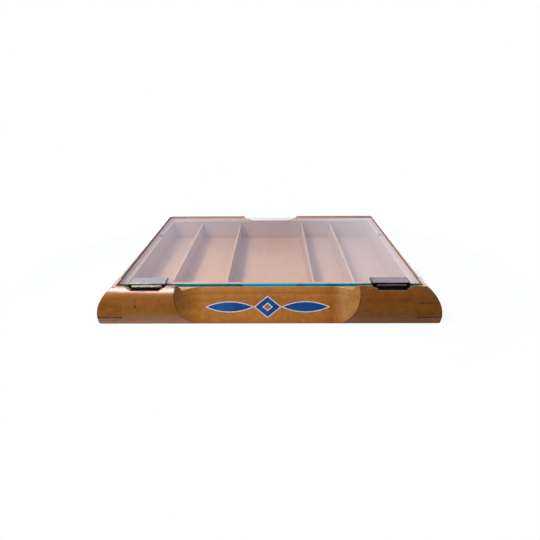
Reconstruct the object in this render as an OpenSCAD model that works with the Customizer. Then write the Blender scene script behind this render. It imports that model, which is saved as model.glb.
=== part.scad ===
// Counter display tray: a shallow wooden tray with five compartments under a hinged glass lid.
// The rails are round-nosed at the front and sides, and the front one has a long scoop.
// The lid turns on two glass-clip hinges let into the front rail and is lifted at the back notch.
// The origin is on the table under the middle of the tray. The front faces -Y and the top +Z.

/* [Glass lid] */
// Width of the glass
glass_w = 360; // [320:1:440]
// Depth of the glass
glass_d = 266; // [220:1:320]
// Thickness of the glass
glass_t = 4; // [3:0.5:5]
// Gap between the glass and the lips at its sides and back
glass_gap = 1; // [0.5:0.1:2]
// Radius of the glass's corners
glass_corner_r = 1.5; // [0.5:0.5:3]

/* [Rails] */
// Height of the rails
rail_h = 44.5; // [42:0.5:60]
// How far the lips stand above the glass
lip_rise = 1.5; // [0.5:0.1:2.5]
// Width of the flat top of the side lips
side_lip_w = 4; // [3:0.5:8]
// Width of the flat top of the front lip
front_lip_w = 3; // [2.5:0.5:6]
// Width of the back lip
back_lip_w = 5; // [4:0.5:10]
// How far the round nose of a side rail stands out past its lip
side_swell = 18; // [12:1:24]
// How far the round nose of the front rail stands out past its lip
front_swell = 12.4; // [10:0.2:20]
// Height of the widest line of the noses
swell_z = 10; // [8:0.5:16]
// Radius of the bottom outer edges
foot_r = 4; // [2:0.5:6]
// Radius of the back rail's top outer edge
back_edge_r = 1.5; // [0.5:0.5:3]
// Width of the ledge under the glass at the sides
side_ledge_w = 7; // [6:0.5:12]
// Width of the ledge under the glass at the front
front_ledge_w = 14; // [13.5:0.5:20]
// Width of the ledge under the glass at the back
back_ledge_w = 6; // [4:0.5:12]

/* [Corner joints] */
// Height where the side rail's finger begins
finger_low_z = 10; // [9:0.5:14]
// Height where the side rail's finger ends
finger_high_z = 27.5; // [20:0.5:32]

/* [Front scoop] */
// Length of the flat part of the scoop
scoop_flat_w = 152; // [100:1:190]
// Radius of the round ends of the scoop
scoop_end_r = 45; // [35:1:60]
// How far the scoop lies to the right of the middle
scoop_shift = -2; // [-5:0.5:5]
// How far behind the front face the scoop starts at the table
scoop_foot_set = 0.7; // [0.5:0.1:3]
// How far behind the front face the scoop reaches at the ledge
scoop_top_set = 24.4; // [16:0.2:26]

/* [Finger notch] */
// Width of the notch at the top of the back rail
notch_w = 95; // [70:1:120]
// Length of the flat bottom of the notch
notch_flat_w = 56; // [30:1:66]
// Depth of the notch below the top of the rail
notch_depth = 8.5; // [6:0.5:12]

/* [Floor] */
// Thickness of the bottom panel
floor_t = 4.5; // [3:0.5:6]
// How far the bottom panel's underside lies above the table
floor_recess = 3; // [2:0.5:5]
// How far the bottom panel is let into the rails
floor_rebate_w = 8; // [7.5:0.5:12]
// Gap around the edge of the bottom panel
floor_gap = 0.3; // [0.1:0.1:1]
// Number of nails along the front and along the back
nails_across = 5; // [3:1:8]
// Number of nails along each side
nails_deep = 3; // [2:1:6]
// Distance of the nails from the edge of the floor's rebate
nail_edge = 2.5; // [2:0.1:3]
// Radius of a nail's shank
nail_r = 0.8; // [0.6:0.1:1.2]
// Radius of a nail's head
nail_head_r = 1.8; // [1.5:0.1:2.5]
// Thickness of a nail's head
nail_head_t = 0.7; // [0.5:0.1:1.2]
// Length of a nail
nail_len = 16; // [12:1:20]

/* [Compartments] */
// Clear width of the first compartment, counted from the left
cell_1_w = 49; // [30:0.5:60]
// Clear width of the second compartment
cell_2_w = 65.5; // [40:0.5:80]
// Clear width of the third compartment
cell_3_w = 106.5; // [60:0.5:120]
// Clear width of the fourth compartment
cell_4_w = 48; // [30:0.5:60]
// Thickness of a divider
divider_t = 3; // [2:0.5:4]
// How far the dividers' tops lie below the ledge
divider_drop = 4.7; // [2:0.1:10]
// How far a divider's end is let into the rail
divider_dado = 3; // [2:0.5:4]
// Gap round a divider's end in its groove
dado_gap = 0.1; // [0.05:0.05:0.3]

/* [Glass bumpers] */
// Radius of a bumper
bumper_r = 3; // [2:0.1:3.2]
// How far a bumper stands above the ledge
bumper_rise = 0.5; // [0.3:0.1:1]
// How far a bumper is let into the ledge
bumper_set = 1.5; // [1:0.5:3]
// Distance of the bumpers behind the glass's front edge
bumper_back = 184; // [120:1:200]

/* [Hinges] */
// Distance of a hinge's middle from the end of the glass
hinge_inset = 34.5; // [32:0.5:60]
// Width of a clip
clip_w = 45; // [40:1:50]
// Depth of a clip's top plate
clip_top_d = 16; // [14:0.5:20]
// Depth of a clip's bottom plate
clip_bottom_d = 11; // [9:0.5:12]
// Thickness of a clip's sheet metal
clip_t = 1.2; // [1:0.1:1.5]
// Outer radius of the bend between a clip's top plate and its web
clip_bend_r = 1.7; // [1.3:0.1:2]
// Radius of a top plate's rear corners
clip_corner_r = 2; // [1:0.5:4]
// Thickness of the liner between a clip and the glass
liner_t = 0.5; // [0.3:0.1:0.8]
// Radius of the hinge barrel
barrel_r = 3; // [2.8:0.1:3.2]
// Gap between the barrel and the liner
barrel_gap = 0.35; // [0.3:0.05:0.6]
// Gap between the barrel and the front lip
lip_room = 0.75; // [0.5:0.05:1.5]
// How far the hinge axis lies below the top of the glass
axis_drop = 2.6; // [2.4:0.1:2.8]
// Length of the leaf's knuckle
mid_knuckle_w = 16; // [12:0.5:20]
// Length of each of a clip's knuckles
end_knuckle_w = 9.3; // [7:0.1:10]
// Gap between neighbouring knuckles
knuckle_gap = 0.3; // [0.2:0.05:0.5]
// Radius of a hinge pin
pin_r = 1.5; // [1:0.1:1.7]
// Running clearance round a pin in a clip's knuckles
pin_clearance = 0.05; // [0.02:0.01:0.1]
// How far a pin's end stands out of the knuckle
pin_proud = 0.4; // [0.2:0.1:1]
// Thickness of a leaf
leaf_t = 1.2; // [1:0.1:1.5]
// Width of a leaf's plate
leaf_w = 34; // [30:1:40]
// How far a leaf's plate reaches behind the hinge axis
leaf_d = 12; // [10:0.5:13]
// Gap between a leaf's plate and the bottom of the clip
leaf_drop = 1.7; // [1.5:0.1:2.5]

/* [Hinge screws] */
// Distance between a leaf's two screws
leaf_screw_pitch = 14; // [12:0.5:16]
// Radius of a wood screw's shank
wood_screw_r = 1.2; // [1:0.1:1.5]
// Radius of a wood screw's head
wood_head_r = 2.6; // [2:0.1:3]
// Thickness of a wood screw's head
wood_head_t = 1; // [0.6:0.1:1.2]
// Length of a wood screw below its head
wood_screw_len = 12; // [8:1:16]
// Distance between a clip's two clamping screws
clip_screw_pitch = 32; // [30:0.5:36]
// Radius of a clamping screw's shank
clamp_screw_r = 1.2; // [1:0.1:1.5]
// Radius of a clamping screw's head
clamp_head_r = 2.4; // [2:0.1:2.8]
// Thickness of a clamping screw's head
clamp_head_t = 0.9; // [0.6:0.1:1.2]
// Clearance round screws, nails and other set-in pieces
set_clearance = 0.05; // [0.02:0.01:0.1]

/* [Hinge mortises] */
// Width of the mortise at the top of the lip
mortise_top_w = 49.6; // [48:0.1:56]
// Width of the mortise's flat bottom
mortise_flat_w = 32; // [28:0.5:40]
// How far the mortise's bottom lies below the top of the glass
mortise_drop = 2.7; // [2:0.1:3.5]
// Gap between the clip and the wood around it
clip_room = 0.8; // [0.5:0.1:1.5]
// How deep the lip is cut back for the clip's swing
swing_cut_d = 2; // [1.8:0.1:2.2]
// How far the cut for the clip's swing reaches below the top of the glass
swing_cut_drop = 1.7; // [1.5:0.1:2]

/* [Hidden] */
$fn = 96;

// Extra length of a cutting shape past the face that it cuts
over = 1;

// Overall size. The hinge barrels lie between the front lip and the glass.
hinge_gap = lip_room + 2 * barrel_r + barrel_gap + liner_t;
tray_w = glass_w + 2 * (glass_gap + side_lip_w + side_swell);
tray_d = front_swell + front_lip_w + hinge_gap + glass_d + glass_gap + back_lip_w;
front_y = -tray_d / 2;
back_y = tray_d / 2;

// Levels above the table
glass_top_z = rail_h - lip_rise;
glass_z = glass_top_z - glass_t;
ledge_z = glass_z - bumper_rise;
floor_z = floor_recess + floor_t;
divider_z = ledge_z - divider_drop;

// The glass and the faces of the rails around it
glass_front_y = front_y + front_swell + front_lip_w + hinge_gap;
glass_back_y = glass_front_y + glass_d;
lip_x = glass_w / 2 + glass_gap;
lip_front_y = glass_front_y - hinge_gap;
lip_back_y = glass_back_y + glass_gap;
inner_x = glass_w / 2 - side_ledge_w;
inner_front_y = glass_front_y + front_ledge_w;
inner_back_y = glass_back_y - back_ledge_w;

// Radii of the noses, which meet the lips' outer edges and stand upright at swell_z
nose_h = rail_h - swell_z;
side_nose_r = (pow(side_swell, 2) + pow(nose_h, 2)) / (2 * side_swell);
front_nose_r = (pow(front_swell, 2) + pow(nose_h, 2)) / (2 * front_swell);
side_nose_x = tray_w / 2 - side_nose_r;
front_nose_y = front_y + front_nose_r;

// Dividers
cell_ws = [cell_1_w, cell_2_w, cell_3_w, cell_4_w];
function cells_to(n) = n < 0 ? 0 : cell_ws[n] + cells_to(n - 1);
function divider_x(n) = -inner_x + cells_to(n) + n * divider_t;

// Hinges
hinge_x = glass_w / 2 - hinge_inset;
axis_z = glass_top_z - axis_drop;
axis_y = glass_front_y - liner_t - barrel_gap - barrel_r;
clip_front_y = glass_front_y - liner_t - clip_t;
clip_top_z = glass_top_z + liner_t + clip_t;
clip_bottom_z = glass_z - liner_t - clip_t;
leaf_top_z = clip_bottom_z - leaf_drop;
leaf_z = leaf_top_z - leaf_t;
leaf_back_y = axis_y + leaf_d;
clip_bottom_back_y = clip_front_y + clip_bottom_d;
clip_top_back_y = clip_front_y + clip_top_d;
barrel_w = mid_knuckle_w + 2 * (end_knuckle_w + knuckle_gap);
leaf_screw_y = (axis_y + leaf_t + leaf_back_y) / 2;
clamp_screw_y = glass_front_y + (clip_bottom_back_y - glass_front_y) / 2;

// A square with its low corner at x, y
module slab(x, y, w, h) {
    translate([x, y])
        square([w, h]);
}

// A box between two corners
module block(low, high) {
    translate(low)
        cube(high - low);
}

// Both sides of the middle plane
module both_sides() {
    children();
    mirror([1, 0, 0])
        children();
}

// The cylinder that the round nose of the right side rail is a part of
module side_nose() {
    translate([side_nose_x, back_y + over, swell_z])
        rotate([90, 0, 0])
            cylinder(tray_d + 2 * over, r = side_nose_r);
}

// The cylinder that the round nose of the front rail is a part of
module front_nose() {
    translate([-tray_w / 2 - over, front_nose_y, swell_z])
        rotate([0, 90, 0])
            cylinder(tray_w + 2 * over, r = front_nose_r);
}

// What is cut off outside the nose of the right side
module side_waste() {
    difference() {
        block([side_nose_x, front_y - over, -over], [tray_w / 2 + over, back_y + over, rail_h + over]);
        side_nose();
    }
}

// What is cut off outside the nose of the front
module front_waste() {
    difference() {
        block([-tray_w / 2 - over, front_y - over, -over], [tray_w / 2 + over, front_nose_y, rail_h + over]);
        front_nose();
    }
}

// Outline of what an edge loses where three small facets ease it, round the centre of its curve
module eased_edge(r) {
    step = 90 / 4;
    function on_facet(a, t) = [r * cos(a) + t * sin(a), t * cos(a) - r * sin(a)];
    corners = [for (a = [1.5 * step, 2.5 * step]) r / cos(step / 2) * [cos(a), -sin(a)]];
    polygon(concat([on_facet(step, r)], corners, [on_facet(3 * step, -r), [2 * r, -2 * r]]));
}

// The eased bottom edge of the right side
module side_foot_cut() {
    inset = side_nose_r - sqrt(pow(side_nose_r, 2) - pow(swell_z - foot_r, 2));
    translate([tray_w / 2 - inset - foot_r, back_y + over, foot_r])
        rotate([90, 0, 0])
            linear_extrude(tray_d + 2 * over)
                eased_edge(foot_r);
}

// The eased bottom edge of the front
module front_foot_cut() {
    inset = front_nose_r - sqrt(pow(front_nose_r, 2) - pow(swell_z - foot_r, 2));
    translate([-tray_w / 2 - over, front_y + inset + foot_r, foot_r])
        rotate([90, 0, 90])
            linear_extrude(tray_w + 2 * over)
                mirror([1, 0])
                    eased_edge(foot_r);
}

// The eased top edge of the back
module back_edge_cut() {
    translate([-tray_w / 2 - over, back_y - back_edge_r, rail_h - back_edge_r])
        rotate([90, 0, 90])
            linear_extrude(tray_w + 2 * over)
                mirror([0, 1])
                    eased_edge(back_edge_r);
}

// The hollow inside the rails: the compartments, the seat of the glass and the rebate of the floor
module tray_hollow() {
    block([-inner_x, inner_front_y, -over], [inner_x, inner_back_y, rail_h + over]);
    block([-lip_x, lip_front_y, ledge_z], [lip_x, lip_back_y, rail_h + over]);
    block([-inner_x - floor_rebate_w, inner_front_y - floor_rebate_w, -over],
          [inner_x + floor_rebate_w, inner_back_y + floor_rebate_w, floor_z]);
}

// The fingers of the side rails at the four corners
module side_fingers() {
    both_sides()
        for (ends = [[front_y - over, inner_front_y], [inner_back_y, back_y + over]])
            block([inner_x, ends[0], finger_low_z], [tray_w / 2 + over, ends[1], finger_high_z]);
}

// Grooves for the dividers' ends, open at the bottom
module divider_grooves() {
    for (n = [0:3])
        block([divider_x(n) - dado_gap, inner_front_y - divider_dado, -over],
              [divider_x(n) + divider_t + dado_gap, inner_back_y + divider_dado, divider_z + dado_gap]);
}

// Places of the floor's nails
module nail_places() {
    nail_out = floor_rebate_w - nail_edge;
    nail_x = inner_x + nail_out;
    nail_front_y = inner_front_y - nail_out;
    nail_back_y = inner_back_y + nail_out;
    for (n = [0 : nails_across - 1], y = [nail_front_y, nail_back_y])
        translate([nail_x * (2 * (n + 0.5) / nails_across - 1), y, floor_recess])
            children();
    for (n = [0 : nails_deep - 1], side = [-1, 1])
        translate([side * nail_x,
                   nail_front_y + (nail_back_y - nail_front_y) * (n + 0.5) / nails_deep, floor_recess])
            children();
}

module nail_holes() {
    nail_places()
        cylinder(nail_len + set_clearance, r = nail_r + set_clearance);
}

// The scoop: a sloping flat with a round end on each side
module scoop_cut() {
    slope = atan2(scoop_top_set - scoop_foot_set, ledge_z);
    reach = 2 * rail_h;
    translate([scoop_shift, front_y + scoop_foot_set, 0])
        rotate([-slope, 0, 0])
            translate([0, -scoop_end_r, -reach / 2])
                linear_extrude(2 * reach) {
                    slab(-scoop_flat_w / 2, -scoop_end_r, scoop_flat_w, 2 * scoop_end_r);
                    for (side = [-1, 1])
                        translate([side * scoop_flat_w / 2, 0])
                            circle(scoop_end_r);
                }
}

// The finger notch: a flat bottom with a round end on each side
module notch_cut() {
    run = (notch_w - notch_flat_w) / 2;
    end_r = (pow(run, 2) + pow(notch_depth, 2)) / (2 * notch_depth);
    translate([0, back_y + over, rail_h - notch_depth])
        rotate([90, 0, 0])
            linear_extrude(back_y - inner_back_y + 2 * over)
                intersection() {
                    slab(-notch_w / 2, 0, notch_w, notch_depth + over);
                    union() {
                        slab(-notch_flat_w / 2, 0, notch_flat_w, 2 * end_r);
                        for (side = [-1, 1])
                            translate([side * notch_flat_w / 2, end_r])
                                circle(end_r);
                    }
                }
}

// The mortise of one hinge: the dip in the lip, the room for the clip's swing and the leaf's pocket
module mortise_cut() {
    pocket_w = clip_w + 2 * clip_room;
    dip_z = glass_top_z - mortise_drop;
    slope_w = (mortise_top_w - mortise_flat_w) / 2;
    rise = slope_w / (rail_h - dip_z) * over;
    translate([0, lip_front_y + over, 0])
        rotate([90, 0, 0])
            linear_extrude(lip_front_y - front_y + 2 * over)
                polygon([[-mortise_flat_w / 2, dip_z], [mortise_flat_w / 2, dip_z],
                         [mortise_top_w / 2 + rise, rail_h + over],
                         [-mortise_top_w / 2 - rise, rail_h + over]]);
    block([-pocket_w / 2, lip_front_y - swing_cut_d, glass_top_z - swing_cut_drop],
          [pocket_w / 2, lip_front_y + over, rail_h + over]);
    block([-pocket_w / 2, lip_front_y, leaf_z],
          [pocket_w / 2, clip_bottom_back_y + clip_room, ledge_z + over]);
}

module at_hinge(side) {
    translate([side * hinge_x, 0, 0])
        children();
}

module front_rail() {
    color("peru")
        difference() {
            intersection() {
                front_nose();
                block([-tray_w / 2, front_y, 0], [tray_w / 2, inner_front_y, rail_h]);
            }
            both_sides() {
                side_waste();
                side_foot_cut();
            }
            front_foot_cut();
            tray_hollow();
            side_fingers();
            divider_grooves();
            nail_holes();
            scoop_cut();
            for (side = [-1, 1])
                at_hinge(side) {
                    mortise_cut();
                    leaf_screw_holes();
                }
        }
}

module back_rail() {
    color("peru")
        difference() {
            block([-tray_w / 2, inner_back_y, 0], [tray_w / 2, back_y, rail_h]);
            both_sides() {
                side_waste();
                side_foot_cut();
            }
            back_edge_cut();
            tray_hollow();
            side_fingers();
            divider_grooves();
            nail_holes();
            notch_cut();
        }
}

// The right side rail, with a finger at each end
module side_rail() {
    difference() {
        intersection() {
            side_nose();
            union() {
                block([inner_x, inner_front_y, 0], [tray_w / 2, inner_back_y, rail_h]);
                block([inner_x, front_y, finger_low_z], [tray_w / 2, back_y, finger_high_z]);
            }
        }
        front_waste();
        side_foot_cut();
        tray_hollow();
        nail_holes();
        bumper_place()
            translate([0, 0, ledge_z - bumper_set])
                cylinder(bumper_set + over, r = bumper_r + set_clearance);
    }
}

module right_side_rail() {
    color("peru")
        side_rail();
}

module left_side_rail() {
    color("peru")
        mirror([1, 0, 0])
            side_rail();
}

module bottom_panel() {
    let_in = floor_rebate_w - floor_gap;
    color("burlywood")
        difference() {
            block([-inner_x - let_in, inner_front_y - let_in, floor_recess],
                  [inner_x + let_in, inner_back_y + let_in, floor_z]);
            nail_holes();
        }
}

module divider(n) {
    color("wheat")
        block([divider_x(n), inner_front_y - divider_dado + dado_gap, floor_z],
              [divider_x(n) + divider_t, inner_back_y + divider_dado - dado_gap, divider_z]);
}

module divider_1() {
    divider(0);
}

module divider_2() {
    divider(1);
}

module divider_3() {
    divider(2);
}

module divider_4() {
    divider(3);
}

module bottom_panel_nails() {
    color("dimgray")
        nail_places() {
            cylinder(nail_len, r = nail_r);
            translate([0, 0, -nail_head_t])
                cylinder(nail_head_t, r = nail_head_r);
        }
}

// The bumper sits in the middle of the side ledge
module bumper_place() {
    translate([(inner_x + lip_x) / 2, glass_front_y + bumper_back, 0])
        children();
}

module glass_bumper() {
    color("slategray")
        bumper_place()
            translate([0, 0, ledge_z - bumper_set])
                cylinder(bumper_set + bumper_rise, r = bumper_r);
}

module right_glass_bumper() {
    glass_bumper();
}

module left_glass_bumper() {
    mirror([1, 0, 0])
        glass_bumper();
}

module glass_lid() {
    corner_x = glass_w / 2 - glass_corner_r;
    color("paleturquoise", 0.4)
        translate([0, 0, glass_z])
            linear_extrude(glass_t) {
                slab(-glass_w / 2, glass_front_y + glass_corner_r, glass_w, glass_d - 2 * glass_corner_r);
                slab(-corner_x, glass_front_y, 2 * corner_x, glass_d);
                for (x = [-corner_x, corner_x],
                     y = [glass_front_y + glass_corner_r, glass_back_y - glass_corner_r])
                    translate([x, y])
                        circle(glass_corner_r);
            }
}

// A cylinder along X, centred on the hinge axis
module axle(length, r, from = 0) {
    translate([from, axis_y, axis_z])
        rotate([0, 90, 0])
            cylinder(length, r = r);
}

// Side view of a shape that folds round the glass's front edge, extruded along X
module along_x(width) {
    translate([-width / 2, 0, 0])
        rotate([90, 0, 90])
            linear_extrude(width)
                children();
}

module clip_plates() {
    inside_y = glass_front_y - liner_t;
    intersection() {
        along_x(clip_w)
            difference() {
                union() {
                    slab(clip_front_y + clip_bend_r, clip_top_z - clip_t, clip_top_d - clip_bend_r, clip_t);
                    slab(clip_front_y, clip_bottom_z, clip_bottom_d, clip_t);
                    slab(clip_front_y, clip_bottom_z, clip_t, clip_top_z - clip_bottom_z - clip_bend_r);
                    translate([clip_front_y + clip_bend_r, clip_top_z - clip_bend_r])
                        circle(clip_bend_r);
                }
                slab(inside_y, clip_bottom_z + clip_t, clip_top_d, clip_top_z - clip_bottom_z - 2 * clip_t);
            }
        translate([0, 0, clip_bottom_z - over])
            linear_extrude(clip_top_z - clip_bottom_z + 2 * over)
                clip_outline();
    }
}

// Outline of the clip from above, with rounded rear corners
module clip_outline() {
    corner_x = clip_w / 2 - clip_corner_r;
    slab(-clip_w / 2, clip_front_y - over, clip_w, clip_top_d + over - clip_corner_r);
    slab(-corner_x, clip_front_y - over, 2 * corner_x, clip_top_d + over);
    for (x = [-corner_x, corner_x])
        translate([x, clip_top_back_y - clip_corner_r])
            circle(clip_corner_r);
}

module hinge_clip() {
    window_w = mid_knuckle_w + 2 * knuckle_gap;
    difference() {
        union() {
            clip_plates();
            for (from = [-barrel_w / 2, barrel_w / 2 - end_knuckle_w])
                axle(end_knuckle_w, barrel_r, from);
        }
        axle(barrel_w + 2 * over, pin_r + pin_clearance, -barrel_w / 2 - over);
        block([-window_w / 2, clip_front_y - over, clip_bottom_z - over],
              [window_w / 2, glass_front_y - liner_t, clip_top_z - clip_t]);
        block([-clip_w, glass_front_y - liner_t, glass_z - liner_t],
              [clip_w, clip_top_back_y + over, glass_top_z + liner_t]);
        clamp_places()
            translate([0, 0, clip_bottom_z - over])
                cylinder(clip_t + 2 * over, r = clamp_screw_r + set_clearance);
    }
}

module clip_liner() {
    color("darkolivegreen")
        along_x(clip_w - 2 * clip_corner_r)
            difference() {
                union() {
                    slab(glass_front_y - liner_t, glass_z - liner_t,
                         clip_bottom_back_y - glass_front_y + liner_t, glass_t + 2 * liner_t);
                    slab(glass_front_y - liner_t, glass_z + glass_t / 2,
                         clip_top_back_y - glass_front_y, glass_t / 2 + liner_t);
                }
                slab(glass_front_y, glass_z, clip_top_d + over, glass_t);
            }
}

module clamp_places() {
    for (side = [-1, 1])
        translate([side * clip_screw_pitch / 2, clamp_screw_y, 0])
            children();
}

module clip_screws() {
    color("darkgray")
        clamp_places() {
            translate([0, 0, clip_bottom_z])
                cylinder(clip_t, r = clamp_screw_r);
            translate([0, 0, clip_bottom_z - clamp_head_t])
                cylinder(clamp_head_t, r = clamp_head_r);
        }
}

module leaf_screw_places() {
    for (side = [-1, 1])
        translate([side * leaf_screw_pitch / 2, leaf_screw_y, 0])
            children();
}

module leaf_screw_holes() {
    leaf_screw_places()
        translate([0, 0, leaf_top_z - wood_screw_len])
            cylinder(wood_screw_len + over, r = wood_screw_r + set_clearance);
}

module leaf_screws() {
    color("darkgray")
        leaf_screw_places() {
            translate([0, 0, leaf_top_z - wood_screw_len])
                cylinder(wood_screw_len, r = wood_screw_r);
            translate([0, 0, leaf_top_z])
                cylinder(wood_head_t, r = wood_head_r);
        }
}

module hinge_leaf() {
    difference() {
        union() {
            axle(mid_knuckle_w, barrel_r, -mid_knuckle_w / 2);
            block([-mid_knuckle_w / 2, axis_y - leaf_t / 2, leaf_z],
                  [mid_knuckle_w / 2, axis_y + leaf_t / 2, axis_z]);
            block([-leaf_w / 2, axis_y - leaf_t / 2, leaf_z], [leaf_w / 2, leaf_back_y, leaf_top_z]);
        }
        axle(mid_knuckle_w + 2 * over, pin_r + set_clearance, -mid_knuckle_w / 2 - over);
        leaf_screw_holes();
    }
}

module hinge_pin() {
    color("silver")
        axle(barrel_w + 2 * pin_proud, pin_r, -barrel_w / 2 - pin_proud);
}

module left_hinge_clip() {
    color("silver")
        at_hinge(-1)
            hinge_clip();
}

module right_hinge_clip() {
    color("dimgray")
        at_hinge(1)
            hinge_clip();
}

module left_hinge_leaf() {
    color("silver")
        at_hinge(-1)
            hinge_leaf();
}

module right_hinge_leaf() {
    color("dimgray")
        at_hinge(1)
            hinge_leaf();
}

module left_hinge_pin() {
    at_hinge(-1)
        hinge_pin();
}

module right_hinge_pin() {
    at_hinge(1)
        hinge_pin();
}

module left_clip_liner() {
    at_hinge(-1)
        clip_liner();
}

module right_clip_liner() {
    at_hinge(1)
        clip_liner();
}

module left_clip_screws() {
    at_hinge(-1)
        clip_screws();
}

module right_clip_screws() {
    at_hinge(1)
        clip_screws();
}

module left_leaf_screws() {
    at_hinge(-1)
        leaf_screws();
}

module right_leaf_screws() {
    at_hinge(1)
        leaf_screws();
}

front_rail();
back_rail();
left_side_rail();
right_side_rail();
bottom_panel();
divider_1();
divider_2();
divider_3();
divider_4();
bottom_panel_nails();
left_glass_bumper();
right_glass_bumper();
left_hinge_leaf();
right_hinge_leaf();
left_hinge_pin();
right_hinge_pin();
left_leaf_screws();
right_leaf_screws();
glass_lid();
left_hinge_clip();
right_hinge_clip();
left_clip_liner();
right_clip_liner();
left_clip_screws();
right_clip_screws();
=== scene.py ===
import math

import bmesh
import bpy
from mathutils import Matrix, Vector


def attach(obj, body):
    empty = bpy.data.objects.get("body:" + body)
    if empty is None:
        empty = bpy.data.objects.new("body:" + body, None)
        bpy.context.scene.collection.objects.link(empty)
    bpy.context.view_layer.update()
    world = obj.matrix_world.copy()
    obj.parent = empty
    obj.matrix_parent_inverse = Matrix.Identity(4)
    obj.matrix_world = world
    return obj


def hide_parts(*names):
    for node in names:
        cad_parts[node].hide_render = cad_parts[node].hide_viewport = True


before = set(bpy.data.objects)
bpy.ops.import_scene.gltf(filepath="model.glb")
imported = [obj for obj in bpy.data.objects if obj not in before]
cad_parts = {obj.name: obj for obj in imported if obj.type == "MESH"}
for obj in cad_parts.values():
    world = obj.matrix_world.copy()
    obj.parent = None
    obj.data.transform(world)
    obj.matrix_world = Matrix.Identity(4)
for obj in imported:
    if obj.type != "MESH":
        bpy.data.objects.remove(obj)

scene = bpy.context.scene
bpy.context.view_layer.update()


# A few short calls for building a material's nodes
class Nodes:
    def __init__(self, tree):
        self.tree = tree
        self.tree.nodes.clear()

    def put(self, socket, value):
        if isinstance(value, bpy.types.NodeSocket):
            self.tree.links.new(value, socket)
        elif isinstance(value, (tuple, list)) and len(value) == 3 and socket.type == "RGBA":
            socket.default_value = (*value, 1)
        else:
            socket.default_value = value

    def add(self, kind, inputs=None, **settings):
        node = self.tree.nodes.new(kind)
        for key, value in settings.items():
            setattr(node, key, value)
        for key, value in (inputs or {}).items():
            self.put(node.inputs[key], value)
        return node

    def math(self, operation, a, b=0.0, clamp=False):
        return self.add("ShaderNodeMath", {0: a, 1: b}, operation=operation, use_clamp=clamp).outputs[0]

    def plus(self, a, b):
        return self.math("ADD", a, b)

    def minus(self, a, b):
        return self.math("SUBTRACT", a, b)

    def product(self, *factors):
        result = factors[0]
        for factor in factors[1:]:
            result = self.math("MULTIPLY", result, factor)
        return result

    def larger(self, a, b):
        return self.math("MAXIMUM", a, b)

    def absolute(self, value):
        return self.math("ABSOLUTE", value)

    def above(self, value, limit):
        return self.math("GREATER_THAN", value, limit)

    def below(self, value, limit):
        return self.math("LESS_THAN", value, limit)

    def remap(self, value, low, high, toLow=0.0, toHigh=1.0, smooth=False):
        inputs = {"Value": value, "From Min": low, "From Max": high, "To Min": toLow, "To Max": toHigh}
        kind = "SMOOTHSTEP" if smooth else "LINEAR"
        return self.add("ShaderNodeMapRange", inputs, interpolation_type=kind).outputs["Result"]

    # 1 between low and high, with blurred ends
    def window(self, value, low, high, blur):
        rise = self.remap(value, low - blur, low + blur, smooth=True)
        fall = self.remap(value, high - blur, high + blur, 1.0, 0.0, smooth=True)
        return self.product(rise, fall)

    def mix(self, factor, a, b, blend="MIX"):
        node = self.add("ShaderNodeMix", {0: factor, 6: a, 7: b}, data_type="RGBA", blend_type=blend)
        return node.outputs[2]

    # The colour, multiplied by a tone where the mask is 1
    def tint(self, mask, colour, tone):
        return self.mix(mask, colour, tone, "MULTIPLY")

    def noise(self, vector, detail=4.0, roughness=0.55, distortion=0.0):
        inputs = {"Vector": vector, "Scale": 1.0, "Detail": detail, "Roughness": roughness,
                  "Distortion": distortion}
        return self.add("ShaderNodeTexNoise", inputs).outputs[0]

    def stretched(self, vector, scale, offset=(0, 0, 0)):
        if isinstance(scale, (int, float)):
            scale = (scale, scale, scale)
        node = self.add("ShaderNodeMapping", {"Vector": vector, "Scale": scale, "Location": offset})
        return node.outputs[0]

    def axes(self, vector):
        return self.add("ShaderNodeSeparateXYZ", {"Vector": vector}).outputs

    # The distance from a centre, as a share of the radii
    def fromCentre(self, place, centre, radii):
        scale = tuple(1 / radius for radius in radii)
        offset = tuple(-middle / radius for middle, radius in zip(centre, radii))
        ray = self.stretched(place, scale, offset)
        return self.add("ShaderNodeVectorMath", {0: ray}, operation="LENGTH").outputs["Value"]

    def bump(self, height, strength, distance, normal=None):
        node = self.add("ShaderNodeBump", {"Height": height, "Strength": strength, "Distance": distance})
        if normal is not None:
            self.put(node.inputs["Normal"], normal)
        return node.outputs[0]

    def blend(self, factor, first, second):
        node = self.add("ShaderNodeMixShader")
        for socket, value in zip(node.inputs, (factor, first, second)):
            self.put(socket, value)
        return node.outputs[0]


def newMaterial(name):
    material = bpy.data.materials.new(name)
    material.use_nodes = True
    n = Nodes(material.node_tree)
    place = n.add("ShaderNodeTexCoord").outputs["Object"]
    return material, n, place


def finish(n, shader):
    n.add("ShaderNodeOutputMaterial", {"Surface": shader})


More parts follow.
